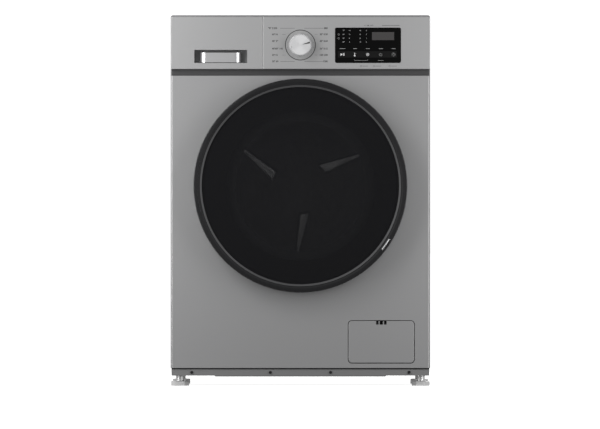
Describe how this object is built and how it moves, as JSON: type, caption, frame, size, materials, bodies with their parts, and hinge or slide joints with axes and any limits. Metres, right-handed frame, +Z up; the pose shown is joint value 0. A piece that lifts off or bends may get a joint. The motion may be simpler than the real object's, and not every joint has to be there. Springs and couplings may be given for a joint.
{
  "type": "front-loading washer dryer",
  "caption": "Freestanding front-loading washer dryer in silver, with round tinted glass door, bow-handled detergent drawer, selector knob, black touch display and service flap.",
  "frame": {"origin": "centre of the bounding box at floor level, under the feet", "axes": "+Z up, the front with door and controls faces -Y, +X to the viewer's right"},
  "size_m": [0.595, 0.6, 0.85],
  "materials": {
    "silver_paint": "satin metallic silver paint",
    "fascia_silver": "satin metallic silver on moulded plastic",
    "plinth_paint": "satin metallic silver, darker",
    "foot_metal": "bright plated",
    "screw_dark": "blackened",
    "dark_trim": "satin dark grey",
    "bezel_dark": "dark graphite gloss",
    "ring_satin": "satin dark metallic",
    "panel_black": "black glass-like gloss",
    "tinted_glass": "smoked, polished",
    "clear_glass": "polished",
    "chrome": "polished",
    "knob_metal": "spun face",
    "stainless": "brushed",
    "steel": "machined",
    "zinc": "zinc-coated sheet",
    "cast_iron": "rough cast",
    "cast_alloy": "cast",
    "rubber_grey": "matte",
    "rubber_black": "matte",
    "plastic_white": "matte",
    "plastic_grey": "matte",
    "plastic_black": "matte",
    "plastic_blue": "matte",
    "circuit_green": "satin",
    "copper_can": "motor can"
  },
  "bodies": {
    "cabinet": {"cabinet_shell": "silver_paint", "front_panel": "silver_paint", "top_panel": "silver_paint", "rear_panel": "zinc", "rear_access_cover": "zinc", "base_tray": "plastic_black", "kick_plate": "plinth_paint", "cabinet_screws": "screw_dark", "trim_strip": "dark_trim", "fascia": "fascia_silver", "display_glass": "panel_black", "control_board": "circuit_green", "dispenser_housing": "plastic_grey", "dispenser_hose": "rubber_black", "inlet_valve": "plastic_blue", "tub_front": "plastic_grey", "tub_rear": "plastic_grey", "heater": "steel", "front_counterweight": "cast_iron", "motor": "copper_can", "drive_belt": "rubber_black", "drum_bearings": "steel", "damper_cylinders": "plastic_black", "damper_rods": "steel", "suspension_springs": "steel", "drying_duct": "cast_alloy", "hinge_bracket": "steel", "door_lock": "plastic_black", "door_gasket": "rubber_grey", "filter_surround": "dark_trim", "drain_pump": "plastic_black", "sump_hose": "rubber_black", "drain_hose": "plastic_grey", "cord_gland": "plastic_black", "transit_caps": "plastic_grey"},
    "drum": {"drum_shell": "stainless", "drum_lifters": "plastic_grey", "drum_spider": "cast_alloy", "drum_shaft": "steel", "drum_pulley": "cast_alloy"},
    "motor_rotor": {"motor_pulley": "steel"},
    "fan": {"fan_impeller": "plastic_black"},
    "door": {"door_bezel": "bezel_dark", "door_ring": "ring_satin", "door_glass": "tinted_glass", "door_bowl": "clear_glass", "door_inner_frame": "dark_trim", "door_hinge_arm": "cast_alloy", "hinge_pin": "steel"},
    "door_latch": {"door_hook": "plastic_white"},
    "drawer": {"drawer_front": "fascia_silver", "drawer_tray": "plastic_white", "drawer_handle": "chrome"},
    "knob": {"selector_knob": "knob_metal"},
    "flap": {"filter_flap": "silver_paint"},
    "lint_filter": {"pump_filter": "plastic_white"},
    "foot_front_left": {"foot_front_left": "foot_metal"},
    "foot_front_right": {"foot_front_right": "foot_metal"},
    "foot_rear_left": {"foot_rear_left": "foot_metal"},
    "foot_rear_right": {"foot_rear_right": "foot_metal"}
  },
  "joints": [
    {"name": "door_hinge", "type": "hinge", "parent": "cabinet", "child": "door", "pos_m": [-0.236, -0.284, 0.459], "axis": [0, 0, -1], "range_deg": [0, 130]},
    {"name": "door_hook_pivot", "type": "hinge", "parent": "door", "child": "door_latch", "pos_m": [0.208, -0.279, 0.459], "axis": [0, 0, 1], "range_deg": [0, 10], "stiffness_Nm_per_rad": 0.05},
    {"name": "drum_spin", "type": "hinge", "parent": "cabinet", "child": "drum", "pos_m": [0, 0, 0.459], "axis": [0, 1, 0], "continuous": true},
    {"name": "motor_spin", "type": "hinge", "parent": "cabinet", "child": "motor_rotor", "pos_m": [0, 0.2, 0.108], "axis": [0, 1, 0], "continuous": true},
    {"name": "fan_spin", "type": "hinge", "parent": "cabinet", "child": "fan", "pos_m": [0.19, 0.13, 0.75], "axis": [0, 0, 1], "continuous": true},
    {"name": "drawer_slide", "type": "slide", "parent": "cabinet", "child": "drawer", "axis": [0, -1, 0], "range_m": [0, 0.2]},
    {"name": "knob_turn", "type": "hinge", "parent": "cabinet", "child": "knob", "pos_m": [0, -0.27, 0.7813], "axis": [0, 1, 0], "continuous": true},
    {"name": "flap_hinge", "type": "hinge", "parent": "cabinet", "child": "flap", "pos_m": [0.1854, -0.258, 0.065], "axis": [1, 0, 0], "range_deg": [0, 90]},
    {"name": "filter_turn", "type": "hinge", "parent": "cabinet", "child": "lint_filter", "pos_m": [0.205, -0.2, 0.104], "axis": [0, 1, 0], "range_deg": [0, 180]},
    {"name": "foot_front_left_turn", "type": "hinge", "parent": "cabinet", "child": "foot_front_left", "pos_m": [-0.276, -0.225, 0.02], "axis": [0, 0, 1], "continuous": true},
    {"name": "foot_front_right_turn", "type": "hinge", "parent": "cabinet", "child": "foot_front_right", "pos_m": [0.276, -0.225, 0.02], "axis": [0, 0, 1], "continuous": true},
    {"name": "foot_rear_left_turn", "type": "hinge", "parent": "cabinet", "child": "foot_rear_left", "pos_m": [-0.276, 0.252, 0.02], "axis": [0, 0, 1], "continuous": true},
    {"name": "foot_rear_right_turn", "type": "hinge", "parent": "cabinet", "child": "foot_rear_right", "pos_m": [0.276, 0.252, 0.02], "axis": [0, 0, 1], "continuous": true}
  ],
  "couplings": [
    {"joint": "motor_spin", "follows": "drum_spin", "ratio": 12.5}
  ]
}
